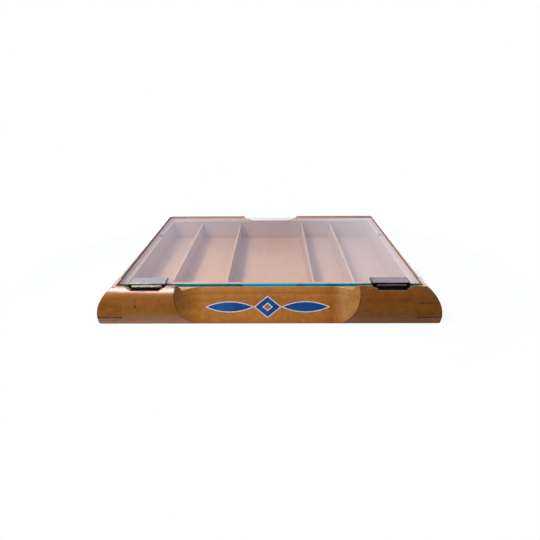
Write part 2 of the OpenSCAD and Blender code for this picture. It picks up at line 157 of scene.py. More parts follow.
# A copy of a CAD node's mesh with merged points and softly broken edges, which stands for the node.
# edgeWeight gives the share of the bevel at a place, for joints that should stay tight.
def finePiece(name, node, body, bevel, materials, segments=2, cornerAngle=32, edgeWeight=None):
    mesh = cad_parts[node].data.copy()
    mesh.name = name
    work = bmesh.new()
    work.from_mesh(mesh)
    bmesh.ops.remove_doubles(work, verts=work.verts, dist=2e-6)
    bmesh.ops.recalc_face_normals(work, faces=work.faces)
    weights = work.edges.layers.float.new("bevel_weight_edge")
    for edge in work.edges:
        corner = len(edge.link_faces) == 2 and edge.calc_face_angle() > math.radians(cornerAngle)
        middle = (edge.verts[0].co + edge.verts[1].co) / 2
        share = edgeWeight(middle) if edgeWeight else 1.0
        edge[weights] = share if corner else 0.0
    work.to_mesh(mesh)
    work.free()
    if "custom_normal" in mesh.attributes:
        mesh.attributes.remove(mesh.attributes["custom_normal"])
    mesh.shade_smooth()
    mesh.set_sharp_from_angle(angle=math.radians(cornerAngle))
    mesh.materials.clear()
    for material in materials:
        mesh.materials.append(material)
    piece = bpy.data.objects.new(name, mesh)
    scene.collection.objects.link(piece)
    brokenEdges = piece.modifiers.new("brokenEdges", "BEVEL")
    brokenEdges.width = bevel
    brokenEdges.segments = segments
    brokenEdges.limit_method = "WEIGHT"
    brokenEdges.use_clamp_overlap = False
    flatFaces = piece.modifiers.new("flatFaces", "WEIGHTED_NORMAL")
    flatFaces.keep_sharp = True
    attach(piece, body)
    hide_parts(node)
    return piece


# Gives a CAD node that keeps its own mesh a finished material
def repaint(node, material):
    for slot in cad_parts[node].material_slots:
        slot.material = material


# Wood: stained and varnished outside, bare inside and on the ledge under the glass.
# In every dictionary below, a name that ends in X, Y or Z is a place along that axis in metres.
railWood = {
    "light": (0.38, 0.15, 0.0245),
    "middle": (0.29, 0.103, 0.0115),
    "dark": (0.185, 0.058, 0.006),
    "streaks": 0.6,
    "roughness": 0.42,
    "specular": 0.1,
    "coat": 1.0,
    "coatRoughness": 0.21,
    "coatIor": 1.65,
    "mottle": (0.8, 0.8, 0.95),
}
sideWood = {**railWood, "coatRoughness": 0.14, "coatIor": 1.9}
insideWood = {
    "light": (0.58, 0.372, 0.255),
    "middle": (0.525, 0.325, 0.218),
    "dark": (0.42, 0.247, 0.155),
    "streaks": 0.5,
    "roughness": 0.5,
    "specular": 0.3,
    "coat": 0.1,
    "coatRoughness": 0.3,
    "coatIor": 1.5,
}
# Waves of each layer of the grain in a metre. Those named Long run along the grain.
woodGrain = {
    "rings": 85,
    "ringsLong": 5,
    "fibres": 1100,
    "fibresLong": 70,
    "patches": 20,
    "mottle": 130,
    "waves": 45,
    "seedSteps": (1.7, 0.9, 2.3),
}
# Where a rail's wood is bare: the walls of the compartments, and the ledge under the glass
bareInside = {"wallX": 0.1735, "wallY": (-0.1112, 0.1362), "ledgeX": 0.18115, "ledgeY": (-0.1243, 0.14265),
              "ledgeZ": (0.0383, 0.0441), "blur": 0.00005}
# How the bare wood's tone shifts from place to place. The front ledge, left ledge, left wall and back wall
# tones are painted shade, the back wall's bluer; the back lip's tone is painted light on its inner face.
bareTones = {
    "frontLedgeShade": (0.84, 0.86, 0.88),
    "leftLedgeShade": (0.71, 0.69, 0.59),
    "leftWallShade": (0.76, 0.82, 0.85),
    "backWallShade": (0.9, 0.96, 1.06),
    "backLip": (1.35, 1.5, 1.65),
    # painted shade for the compartments to the right
    "rightCellsShade": (0.8, 0.82, 0.84),
    "dividerTop": (0.93, 0.93, 0.86),
    # painted shade, bluer, on the dividers' sides that face right
    "dividerRightShade": (0.98, 1.0, 1.08),
}
bareZones = {
    "frontLedgeY": -0.1,
    "frontLedgeZ": 0.038,
    "ledgeZ": 0.0381,
    "leftX": -0.1728,
    "leftWallY": (-0.05, 0.12),
    "backWallY": 0.1353,
    "backLipY": 0.1421,
    "backLipZ": 0.0430,
    "rightCellsX": (0.04, 0.15),
    "dividerTopZ": 0.0335,
}
# The side lips: their crowned varnish, and the dark line along the inner arris, which is painted shade
sideLip = {
    "innerX": 0.1808,
    "crownX": 0.1858,
    "lowZ": 0.0438,
    "crownRise": 0.001,
    "leftArrisX": 0.1823,
    "rightArrisX": 0.1819,
    "leftArris": (0.03, 0.014, 0.007),
    "rightArris": (0.2, 0.085, 0.022),
}


# 1 where a rail's wood is bare
def bareMask(n, place):
    x, y, z = n.axes(place)
    side = n.absolute(x)
    blur = bareInside["blur"]
    walls = n.product(n.below(side, bareInside["wallX"]), n.window(y, *bareInside["wallY"], blur))
    ledge = n.product(n.below(side, bareInside["ledgeX"]), n.window(y, *bareInside["ledgeY"], blur),
                      n.window(z, *bareInside["ledgeZ"], blur))
    return n.larger(walls, ledge)


# Painted shade: the bare wood is darker in the compartments to the right, where the light falls off
def rightwardShade(n, place, colour):
    toRight = n.remap(n.axes(place)[0], *bareZones["rightCellsX"], smooth=True)
    return n.tint(toRight, colour, bareTones["rightCellsShade"])


# Painted light and shade on the bare wood: painted shade on the front ledge, the left ledge, the left wall
# and the back wall, and painted light on the back lip's inner face
def bareLightAndShade(n, place, colour):
    x, y, z = n.axes(place)
    frontLedgeShade = n.product(n.below(y, bareZones["frontLedgeY"]), n.above(z, bareZones["frontLedgeZ"]))
    colour = n.tint(frontLedgeShade, colour, bareTones["frontLedgeShade"])
    onLedge = n.above(z, bareZones["ledgeZ"])
    onWall = n.minus(1.0, onLedge)
    atLeft = n.below(x, bareZones["leftX"])
    colour = n.tint(n.product(onLedge, atLeft), colour, bareTones["leftLedgeShade"])
    leftWallShade = n.product(onWall, atLeft, n.remap(y, *bareZones["leftWallY"], 1.0, 0.5))
    colour = n.tint(leftWallShade, colour, bareTones["leftWallShade"])
    backWallShade = n.product(onWall, n.above(y, bareZones["backWallY"]))
    colour = n.tint(backWallShade, colour, bareTones["backWallShade"])
    backLip = n.product(n.above(y, bareZones["backLipY"]), n.below(z, bareZones["backLipZ"]))
    return n.tint(backLip, colour, bareTones["backLip"])


# The varnish on the side lips falls away a little towards the outside
def crownedLip(n, place, normal):
    x, y, z = n.axes(place)
    across = n.remap(n.absolute(x), sideLip["innerX"], sideLip["crownX"], 1.0, 0.0)
    crown = n.product(across, n.above(z, sideLip["lowZ"]))
    return n.bump(crown, 1.0, sideLip["crownRise"], normal)


# Straight-grained varnished wood. along is the axis that the grain follows, 0 for X or 1 for Y.
# The marks change the colour one after another. gloss and matt say where the varnish shines or is missing.
def woodMaterial(name, look, along, seed, marks=(), gloss=None, matt=None):
    material, n, place = newMaterial(name)
    varnished = look is not insideWood
    offset = tuple(seed * step for step in woodGrain["seedSteps"])
    broad = [woodGrain["rings"]] * 3
    broad[along] = woodGrain["ringsLong"]
    fine = [woodGrain["fibres"]] * 3
    fine[along] = woodGrain["fibresLong"]
    finePlace = n.stretched(place, fine, offset)
    rings = n.noise(n.stretched(place, broad, offset), 5.0, 0.6, 0.7)
    fibres = n.noise(finePlace, 3.0, 0.6)
    pores = n.noise(n.stretched(finePlace, 0.6), 2.0, 0.7)
    patches = n.noise(n.stretched(place, woodGrain["patches"], offset), 4.0, 0.55)
    waves = n.noise(n.stretched(place, woodGrain["waves"], offset), 2.0, 0.5)
    tone = n.plus(n.product(rings, 0.62), n.product(fibres, 0.38))
    ramp = n.add("ShaderNodeValToRGB", {"Fac": tone})
    steps = ramp.color_ramp.elements
    steps[0].position = 0.34
    steps[0].color = (*look["dark"], 1)
    steps[1].position = 0.66
    steps[1].color = (*look["light"], 1)
    steps.new(0.5).color = (*look["middle"], 1)
    colour = n.mix(look["streaks"], look["middle"], ramp.outputs[0])
    colour = n.mix(n.remap(patches, 0.35, 0.7, 0.0, 0.3), colour, look["light"])
    poreMask = n.remap(pores, 0.66, 0.76, 0.0, 0.45)
    colour = n.mix(poreMask, colour, look["dark"])
    if "mottle" in look:
        mottle = n.noise(n.stretched(place, woodGrain["mottle"], offset), 5.0, 0.65, 0.5)
        colour = n.tint(n.remap(mottle, 0.4, 0.66), colour, look["mottle"])
    for mark in marks:
        colour = mark(n, place, colour)
    coat = look["coat"]
    if gloss:
        coat = n.product(gloss(n, place), look["coat"])
    coatNormal = n.bump(waves, 0.1, 0.0015)
    if varnished:
        bare = bareMask(n, place)
        inside = n.mix(n.remap(tone, 0.3, 0.7), insideWood["middle"], insideWood["light"])
        inside = bareLightAndShade(n, place, rightwardShade(n, place, inside))
        colour = n.mix(bare, colour, inside)
        coat = n.product(coat, n.remap(bare, 0.0, 1.0, 1.0, insideWood["coat"]))
        coatNormal = crownedLip(n, place, coatNormal)
    roughness = n.remap(patches, 0.3, 0.7, look["roughness"] - 0.05, look["roughness"] + 0.08)
    roughness = n.plus(roughness, n.product(poreMask, 0.2))
    if matt:
        dull = matt(n, place)
        roughness = n.larger(roughness, dull)
        coat = n.product(coat, n.minus(1.0, dull))
    height = n.minus(n.product(fibres, 0.5), poreMask)
    shader = n.add("ShaderNodeBsdfPrincipled", {
        "Base Color": colour, "Roughness": roughness, "Specular IOR Level": look["specular"],
        "Normal": n.bump(waves, 0.12, 0.0015, n.bump(height, 0.16, 0.0003)),
        "Coat Weight": coat, "Coat Roughness": look["coatRoughness"], "Coat IOR": look["coatIor"],
        "Coat Normal": coatNormal})
    finish(n, shader.outputs[0])
    return material


# Front rail: the scoop's painted light and shade, painted light and shade on the blocks beside it, small
# wear, and the hinges' mortises
frontLook = {
    "scoopFlat": 0.076,  # half of the scoop's straight part, in metres
    "scoopMiddle": -0.002,
    "scoopRadius": 0.045,
    "scoopFoot": -0.1468,  # Y of the sloping face at its foot
    "scoopSlope": 0.6156,
    # tones that multiply the wood's colour, apart from ledgeTan, which takes its place
    # painted shade along the scoop's rims and on its left end, and painted light on its right end
    "leftRimShade": (0.22, 0.17, 0.12),
    "rightRimShade": (0.62, 0.6, 0.6),
    "leftEndShade": (0.72, 0.78, 0.85),
    "rightEnd": (1.0, 1.24, 1.85),
    # painted shade on the blocks beside the scoop
    "leftShade": (0.78, 0.74, 0.66),
    "rightShade": (0.61, 0.565, 0.4),
    # painted light over the scoop's hollow, which faces up towards the light
    "hollow": (1.09, 1.1, 1.14),
    "band": (0.45, 0.4, 0.35),
    "ledgeTan": (0.66, 0.33, 0.11),
    "footTone": (1.4, 1.25, 1.0),
    # painted light along the left block's brow
    "leftBrow": (1.5, 1.36, 1.12),
    "warmPatch": (0.82, 0.76, 0.68),
    "scoopToe": (0.95, 0.8, 0.6),
}
frontPlaces = {
    "warmPatchX": (0.066, 0.080),
    "toeZ": (0.001, 0.006),
    "leftEndX": (-0.108, -0.078),
    "rightEndX": (0.076, 0.092),
    "bandZ": (0.0312, 0.0330),
    "rimGap": (-0.0013, -0.0002),
    "rimY": -0.1325,
    "rimZ": (0.006, 0.034),
    "tanX": 0.15,
    "tanY": (-0.1330, -0.1215),
    "tanZ": (0.0382, 0.0388),
    "blocksY": (-0.1300, -0.1200),
    "shadesX": (-0.02, 0.02),
    "footX": (-0.2, 0.05),
    "footZ": (0.0045, 0.0075),
    "browX": (-0.118, -0.105),
    "browZ": (0.0325, 0.0385),
}
paleNick = (0.62, 0.42, 0.26)
darkDent = (0.05, 0.022, 0.008)
frontWear = [  # centre, radii, colour, strength
    ((-0.1568, -0.1457, 0.0239), (0.0016, 0.01, 0.0022), darkDent, 1.0),
    ((-0.1560, -0.1434, 0.0307), (0.0011, 0.01, 0.0014), darkDent, 0.8),
    ((-0.1683, -0.1400, 0.0375), (0.0012, 0.01, 0.0007), darkDent, 0.4),
    ((-0.1215, -0.1380, 0.0405), (0.0009, 0.01, 0.0009), darkDent, 0.7),
    ((-0.1235, -0.1370, 0.0420), (0.0010, 0.01, 0.0006), darkDent, 0.6),
    ((0.1380, -0.1465, 0.0008), (0.0035, 0.01, 0.0011), darkDent, 0.9),
    ((0.2010, -0.1450, 0.0030), (0.0020, 0.02, 0.0022), darkDent, 0.95),
    ((0.1158, -0.1363, 0.0430), (0.0010, 0.01, 0.0009), paleNick, 0.3),
    ((0.1193, -0.1367, 0.0425), (0.0012, 0.01, 0.0007), paleNick, 0.25),
    ((0.0408, -0.1443, 0.0040), (0.0006, 0.01, 0.0016), paleNick, 0.3),
    ((0.0265, -0.1425, 0.0071), (0.0004, 0.01, 0.0030), paleNick, 0.26),
    ((0.0190, -0.1430, 0.0060), (0.0005, 0.01, 0.0018), paleNick, 0.2),
    ((0.1050, -0.1377, 0.0335), (0.0014, 0.01, 0.0009), darkDent, 0.4),
    ((0.1745, -0.1475, 0.0098), (0.0018, 0.01, 0.0015), darkDent, 1.0),
    ((0.1788, -0.1448, 0.0262), (0.0026, 0.01, 0.0015), darkDent, 0.85),
]
hingeX = 0.1455  # how far each hinge sits from the middle
# The recess behind each hinge barrel is dark: it is dirty, and painted shade lies under the barrel
mortise = {
    "reach": (0.0165, 0.0200),
    "frontY": -0.1369,
    "bandZ": (0.0380, 0.0412),
    "dirtAndShade": (0.002, 0.0015, 0.001),
}


# 1 inside the scoop's outline, and the distance from that outline along X
def scoopMask(n, place):
    x, y, z = n.axes(place)
    slope = frontLook["scoopSlope"]
    plane = n.plus(n.product(z, slope), frontLook["scoopFoot"])
    depth = n.product(n.minus(plane, y), math.cos(math.atan(slope)))
    inner = n.product(depth, n.minus(2 * frontLook["scoopRadius"], depth))
    reach = n.plus(n.math("SQRT", n.larger(inner, 0.0)), frontLook["scoopFlat"])
    across = n.absolute(n.minus(x, frontLook["scoopMiddle"]))
    gap = n.minus(reach, across)
    return n.remap(gap, -0.0004, -0.0002), gap


# Painted light and shade in the scoop: painted light over the hollow and its right end, painted shade on
# its left end and along its rims
def scoopLightAndShade(n, place, colour):
    x, y, z = n.axes(place)
    inside, gap = scoopMask(n, place)
    colour = n.tint(inside, colour, frontLook["hollow"])
    warm = n.product(inside, n.window(x, *frontPlaces["warmPatchX"], 0.008))
    colour = n.tint(warm, colour, frontLook["warmPatch"])
    toe = n.product(inside, n.remap(z, *frontPlaces["toeZ"], 1.0, 0.0))
    colour = n.tint(toe, colour, frontLook["scoopToe"])
    leftEndShade = n.product(inside, n.remap(x, *frontPlaces["leftEndX"], 1.0, 0.0, smooth=True))
    colour = n.tint(leftEndShade, colour, frontLook["leftEndShade"])
    rightEnd = n.product(inside, n.remap(x, *frontPlaces["rightEndX"], smooth=True))
    colour = n.tint(rightEnd, colour, frontLook["rightEnd"])
    band = n.product(inside, n.window(z, *frontPlaces["bandZ"], 0.0008), 0.3)
    colour = n.tint(band, colour, frontLook["band"])
    rim = n.product(n.window(gap, *frontPlaces["rimGap"], 0.0003), n.below(y, frontPlaces["rimY"]))
    high = n.remap(z, *frontPlaces["rimZ"], 0.35, 1.0, smooth=True)
    colour = n.tint(n.product(rim, high, n.below(x, 0.0)), colour, frontLook["leftRimShade"])
    colour = n.tint(n.product(rim, n.above(x, 0.0)), colour, frontLook["rightRimShade"])
    tan = n.product(n.window(y, *frontPlaces["tanY"], 0.0002), n.window(z, *frontPlaces["tanZ"], 0.0001),
                    n.below(n.absolute(x), frontPlaces["tanX"]))
    return n.mix(tan, colour, frontLook["ledgeTan"])


# Painted light and shade on the blocks beside the scoop: they are darker than its hollow, the right one
# most, their foot is lighter towards the left, and painted light lies along the left block's brow
def blockLightAndShade(n, place, colour):
    x, y, z = n.axes(place)
    outside = n.minus(1.0, scoopMask(n, place)[0])
    blocks = n.product(outside, n.remap(y, *frontPlaces["blocksY"], 1.0, 0.0))
    shade = n.mix(n.remap(x, *frontPlaces["shadesX"]), frontLook["leftShade"], frontLook["rightShade"])
    colour = n.tint(blocks, colour, shade)
    foot = n.product(blocks, n.remap(z, *frontPlaces["footZ"], 1.0, 0.0),
                     n.remap(x, *frontPlaces["footX"], 1.0, 0.0))
    colour = n.tint(foot, colour, frontLook["footTone"])
    brow = n.product(blocks, n.remap(z, *frontPlaces["browZ"], smooth=True),
                     n.remap(x, *frontPlaces["browX"], 1.0, 0.0))
    return n.tint(brow, colour, frontLook["leftBrow"])


def wearMarks(n, place, colour):
    ragged = n.product(n.noise(n.stretched(place, 1500), 2.0), 0.8)
    for centre, radii, stain, strength in frontWear:
        away = n.plus(n.fromCentre(place, centre, radii), ragged)
        colour = n.mix(n.remap(away, 0.8, 1.4, strength, 0.0), colour, stain)
    return colour


def mortiseMask(n, place):
    x, y, z = n.axes(place)
    across = n.absolute(n.minus(n.absolute(x), hingeX))
    return n.product(n.remap(across, *mortise["reach"], 1.0, 0.0, smooth=True),
                     n.window(z, *mortise["bandZ"], 0.0002), n.above(y, mortise["frontY"]))


# Darkens the mortises: dirty wood and painted shade under the barrels
def mortiseDirtAndShade(n, place, colour):
    return n.mix(mortiseMask(n, place), colour, mortise["dirtAndShade"])


# Corner joints: dark seams where the side rails' fingers end, and a glued-in slip below the left one
seams = {
    "colour": (0.02, 0.009, 0.004),
    "outsideX": 0.1732,
    "frontY": -0.1106,
    "backY": 0.1356,
    "lowZ": 0.0100,
    "lowHalf": 0.00063,
    "highZ": 0.0275,
    "highHalf": 0.00045,
    "blur": 0.0002,
    "mattX": 0.1735,
    "mattZ": (0.0090, 0.0109),
    "slipX": (-0.2030, -0.1740),
    "slipZ": (0.0064, 0.0069),
    "slipEndX": (-0.1745, -0.1739),
    "slipEndZ": (0.0064, 0.0102),
}


def fingerSeams(n, place, colour):
    x, y, z = n.axes(place)
    joint = n.larger(n.below(y, seams["frontY"]), n.above(y, seams["backY"]))
    end = n.product(n.above(n.absolute(x), seams["outsideX"]), joint)
    uneven = n.product(n.noise(n.stretched(place, 300), 2.0), 0.0006)
    wavy = n.plus(z, n.minus(uneven, 0.0003))

    def seam(middle, half):
        return n.window(wavy, middle - half, middle + half, seams["blur"])

    low = seam(seams["lowZ"], seams["lowHalf"])
    high = seam(seams["highZ"], seams["highHalf"])
    high = n.product(high, n.remap(x, -0.1, 0.1, 0.12, 1.0))  # faint on the left
    fade = n.remap(n.noise(n.stretched(place, (260, 30, 30)), 2.0), 0.38, 0.54, 0.42, 1.0)
    return n.mix(n.product(end, fade, n.larger(low, high)), colour, seams["colour"])


# The low seams hold no varnish, so they don't shine
def seamMatt(n, place):
    x, y, z = n.axes(place)
    low = n.product(n.window(z, *seams["mattZ"], 0.0004), 0.8)
    return n.product(low, n.above(n.absolute(x), seams["mattX"]))


# The slip is seen by its dark outline
def slipOutline(n, place, colour):
    x, y, z = n.axes(place)
    bottom = n.product(n.window(z, *seams["slipZ"], 0.0002), n.window(x, *seams["slipX"], 0.0003))
    end = n.product(n.window(x, *seams["slipEndX"], 0.0003), n.window(z, *seams["slipEndZ"], 0.0002))
    return n.mix(n.product(n.larger(bottom, end), 0.85), colour, seams["colour"])


# The back rail's flat top is darker
backCrown = {"lowZ": 0.0443, "tone": (0.78, 0.78, 0.8)}


def darkCrown(n, place, colour):
    top = n.above(n.axes(place)[2], backCrown["lowZ"])
    return n.tint(top, colour, backCrown["tone"])


# The dark line along the inner arris of each side lip, which is painted shade
def arrisMask(n, place):
    x, y, z = n.axes(place)
    side = n.absolute(x)
    edge = n.remap(x, -0.01, 0.01, sideLip["leftArrisX"], sideLip["rightArrisX"])
    return n.product(n.window(side, sideLip["innerX"], sideLip["leftArrisX"], 0.0002), n.below(side, edge),
                     n.above(z, sideLip["lowZ"]))


# Painted shade along the arris: near black on the left lip, lighter brown on the right lip, which faces
# the light
def arrisShade(n, place, colour):
    tone = n.mix(n.above(n.axes(place)[0], 0.0), sideLip["leftArris"], sideLip["rightArris"])
    return n.mix(n.product(arrisMask(n, place), 0.85), colour, tone)


# The ornament on the scoop: a lozenge between two spindles, painted blue with a pale keyline. Sizes are in
# millimetres from its middle, along X and up the slope.
ornament = {
    "middle": (-0.0015, 0.0178),
    "perMetre": (1000.0, 1174.0),
    "lozenge": (15.0, 12.0),
    "heart": (6.2, 5.0),
    "spindleMiddle": 45.5,
    "spindleHalf": 27.0,
    "spindleHeight": 5.6,
    "keyline": 0.85,
    "blur": 0.1,
    "blue": (0.001, 0.034, 0.14),
    "blueLight": (0.002, 0.058, 0.19),
    "pale": (0.58, 0.56, 0.6),
    "frontY": -0.1205,
    "topZ": 0.0372,
}


def paintedOrnament(n, place, colour):
    x, y, z = n.axes(place)
    middleX, middleZ = ornament["middle"]
    u = n.absolute(n.product(n.minus(x, middleX), ornament["perMetre"][0]))
    v = n.absolute(n.product(n.minus(z, middleZ), ornament["perMetre"][1]))

    def lozenge(size):
        wide, high = size
        edge = wide * high / math.hypot(wide, high)
        total = n.plus(n.math("DIVIDE", u, wide), n.math("DIVIDE", v, high))
        return n.product(n.minus(total, 1.0), edge)

    half, height = ornament["spindleHalf"], ornament["spindleHeight"]
    arc = (half ** 2 + height ** 2) / (2 * height)
    along = n.minus(u, ornament["spindleMiddle"])
    upright = n.plus(v, arc - height)
    squares = n.plus(n.product(along, along), n.product(upright, upright))
    spindle = n.minus(n.math("SQRT", squares), arc)
    ring = n.larger(lozenge(ornament["lozenge"]), n.product(lozenge(ornament["heart"]), -1.0))
    worn = n.noise(n.stretched(place, 900), 3.0, 0.6)
    shape = n.plus(n.math("MINIMUM", ring, spindle), n.remap(worn, 0.3, 0.7, -0.12, 0.12))
    face = n.product(n.below(y, ornament["frontY"]), n.below(z, ornament["topZ"]))
    chipped = n.remap(worn, 0.71, 0.76, 1.0, 0.0)

    def painted(reach):
        edge = n.remap(shape, reach - ornament["blur"], reach + ornament["blur"], 1.0, 0.0)
        return n.product(face, edge, chipped)

    shades = n.noise(n.stretched(place, (60, 60, 25)), 3.0)
    blue = n.mix(n.remap(shades, 0.35, 0.7), ornament["blue"], ornament["blueLight"])
    colour = n.mix(n.product(painted(ornament["keyline"]), 0.92), colour, ornament["pale"])
    return n.mix(painted(0.0), colour, blue)


# Where the varnish shines. The front is glossy at the top left, along the foot and at its upper corners,
# and worn matt elsewhere. The sides and the back are polished along the top, and matt below.
shine = {
    "worn": 0.06,
    "leftTopX": (-0.11, 0.0),
    "leftTopZ": (0.0350, 0.0404),
    "footX": (-0.1, 0.15),
    "footZ": (0.006, 0.018),
    "cornerX": (0.176, 0.182),
    "cornerY": (-0.1430, -0.1390),
    "cornerZ": (0.029, 0.040),
    "sideZ": (0.031, 0.041),
    "sideEndsY": (0.1385, 0.1430),
    "backZ": (0.030, 0.044),
}


def frontGloss(n, place):
    x, y, z = n.axes(place)
    outside = n.minus(1.0, scoopMask(n, place)[0])
    leftTop = n.product(n.remap(z, *shine["leftTopZ"], smooth=True),
                        n.remap(x, *shine["leftTopX"], 1.0, 0.1, smooth=True))
    foot = n.product(n.remap(z, *shine["footZ"], 1.0, 0.0, smooth=True),
                     n.remap(x, *shine["footX"], 0.75, 0.3), outside)
    corner = n.product(n.remap(n.absolute(x), *shine["cornerX"], smooth=True),
                       n.remap(z, *shine["cornerZ"], smooth=True),
                       n.remap(y, *shine["cornerY"], smooth=True))
    return n.larger(n.larger(leftTop, foot), n.larger(corner, shine["worn"]))


def sideGloss(n, place):
    x, y, z = n.axes(place)
    top = n.remap(z, *shine["sideZ"], shine["worn"], 1.0, smooth=True)
    ends = n.remap(n.absolute(y), *shine["sideEndsY"], 1.0, 0.08, smooth=True)
    return n.product(top, ends, n.remap(arrisMask(n, place), 0.0, 1.0, 1.0, 0.1))


def backGloss(n, place):
    return n.remap(n.axes(place)[2], *shine["backZ"], shine["worn"], 0.6, smooth=True)


def frontMatt(n, place):
    return n.larger(mortiseMask(n, place), seamMatt(n, place))


# The dividers' tops, and painted shade, bluer, on the sides that face right, away from the light
def dividerTones(n, place, colour):
    top = n.above(n.axes(place)[2], bareZones["dividerTopZ"])
    colour = n.tint(top, colour, bareTones["dividerTop"])
    facing = n.axes(n.add("ShaderNodeNewGeometry").outputs["True Normal"])[0]
    return n.tint(n.above(facing, 0.5), colour, bareTones["dividerRightShade"])


frontMarks = [scoopLightAndShade, blockLightAndShade, paintedOrnament, fingerSeams, slipOutline, wearMarks, mortiseDirtAndShade]
sideMarks = [blockLightAndShade, fingerSeams, arrisShade]
frontRailWood = woodMaterial("railWoodFront", railWood, 0, 1.0, frontMarks, frontGloss, frontMatt)
backRailWood = woodMaterial("railWoodBack", sideWood, 0, 2.0, [fingerSeams, darkCrown], backGloss)
leftRailWood = woodMaterial("railWoodLeft", sideWood, 1, 3.0, sideMarks, sideGloss, seamMatt)
rightRailWood = woodMaterial("railWoodRight", sideWood, 1, 4.0, sideMarks, sideGloss, seamMatt)
dividerWood = woodMaterial("dividerWood", insideWood, 1, 6.0, [dividerTones])
print("rail and divider wood made")


# Bottom panel: rotary-cut plywood with faint flame figure and a rosy patch in the middle compartment,
# painted light near the back wall and painted shade towards the right
plyLook = {
    "light": (0.565, 0.356, 0.234),
    "dark": (0.487, 0.298, 0.19),
    "speck": (0.3, 0.17, 0.11),
    "rosy": (0.94, 0.84, 0.8),
    "rosyPlace": (0.0, 0.095, 0.0075),
    "rosySize": (0.06, 0.05, 0.05),
    "nearBack": (1.1, 1.03, 1.02),
    "nearBackY": (0.095, 0.134),
    "leftCells": (0.985, 0.95, 0.83),
    "leftCellsX": (-0.07, -0.04),
    "roughness": (0.44, 0.58),
    "specular": 0.3,
}


def plywoodMaterial():
    material, n, place = newMaterial("floorPlywood")
    x, y, z = n.axes(place)
    hills = n.noise(n.stretched(place, (9, 6, 9), (3.0, 1.0, 0.0)), 2.5, 0.45, 0.5)
    figure = n.plus(n.product(n.math("SINE", n.product(hills, 95.0)), 0.5), 0.5)
    fibres = n.noise(n.stretched(place, (240, 1500, 900)), 3.0, 0.6)
    patches = n.noise(n.stretched(place, 16), 4.0, 0.6)
    tone = n.plus(n.product(figure, 0.14), n.product(fibres, 0.5))
    tone = n.plus(tone, n.product(patches, 0.36))
    colour = n.mix(n.remap(tone, 0.3, 0.7), plyLook["dark"], plyLook["light"])
    away = n.plus(n.fromCentre(place, plyLook["rosyPlace"], plyLook["rosySize"]), n.product(patches, 0.6))
    colour = n.tint(n.remap(away, 0.6, 1.5, 1.0, 0.0, smooth=True), colour, plyLook["rosy"])
    # painted light near the back wall, against the shade that falls there
    nearBack = n.remap(y, *plyLook["nearBackY"], smooth=True)
    colour = n.tint(nearBack, colour, plyLook["nearBack"])
    specks = n.remap(n.noise(n.stretched(place, 420), 2.0, 0.7), 0.72, 0.8, 0.0, 0.4)
    colour = rightwardShade(n, place, n.mix(specks, colour, plyLook["speck"]))
    colour = n.tint(n.remap(x, *plyLook["leftCellsX"], 1.0, 0.0), colour, plyLook["leftCells"])
    shader = n.add("ShaderNodeBsdfPrincipled", {
        "Base Color": colour, "Roughness": n.remap(patches, 0.3, 0.7, *plyLook["roughness"]),
        "Specular IOR Level": plyLook["specular"], "Normal": n.bump(fibres, 0.14, 0.0003)})
    finish(n, shader.outputs[0])
    return material


# Share of the bevel along the rails' edges. The corner joints keep tight seams. The back rail's notch ends
# and crown corners stay sharp, because a bevel would swell them.
sharpEdges = {
    "jointX": 0.1725,
    "jointY": 0.1,
    "jointZ": (0.0095, 0.028),
    "notchX": 0.06,
    "notchFloorX": 0.027,
    "notchZ": 0.034,
    "crownX": 0.17,
    "crownY": 0.145,
    "crownZ": 0.04,
}


def railEdges(middle):
    low, high = sharpEdges["jointZ"]
    corner = abs(middle.x) > sharpEdges["jointX"] and abs(middle.y) > sharpEdges["jointY"]
    return 0.0 if corner and low < middle.z < high else 1.0


def backRailEdges(middle):
    side = abs(middle.x)
    if side < sharpEdges["notchX"] and middle.z > sharpEdges["notchZ"]:
        return 0.3 if side < sharpEdges["notchFloorX"] else 0.0
    if side > sharpEdges["crownX"] and middle.y > sharpEdges["crownY"] and middle.z > sharpEdges["crownZ"]:
        return 0.0
    return railEdges(middle)


woodPieces = [  # name, node, slot, bevel, material, share of the bevel
    ("frontRail", "front_rail", "rail_wood", 0.0003, frontRailWood, railEdges),
    ("backRail", "back_rail", "rail_wood", 0.0003, backRailWood, backRailEdges),
    ("leftSideRail", "left_side_rail", "rail_wood", 0.0004, leftRailWood, railEdges),
    ("rightSideRail", "right_side_rail", "rail_wood", 0.0004, rightRailWood, railEdges),
    ("floorPanel", "bottom_panel", "floor_wood", 0.0002, plywoodMaterial(), None),
    *((f"divider{i}", f"divider_{i}", "divider_wood", 0.0004, dividerWood, None) for i in range(1, 5)),
]
for name, node, slot, bevel, material, edges in woodPieces:
    finePiece(name, node, "tray", bevel, [material], edgeWeight=edges)
print("wooden pieces made")


# Glass lid: clear faces and a ground edge that shows the glass's own colour, with painted light on the
# edge: a bright band about its middle, and a faint glow
glassLook = {
    "tint": (0.975, 0.985, 0.99),
    "mirror": (0.96, 0.96, 0.98),
    "reflection": 1.6,
    "edgeBright": (0.0008, 0.3, 0.345),
    "edgeMiddle": (0.003, 0.22, 0.215),
    "edgeDark": (0.007, 0.075, 0.062),
    "edgeGlow": 0.3,
    "lightBandX": 0.0005,
    "lightBandHalf": 0.0318,
}


# Light from the lamps and between surfaces passes the glass unchanged
def lightRay(n):
    path = n.add("ShaderNodeLightPath").outputs
    return n.larger(path["Is Shadow Ray"], path["Is Diffuse Ray"])


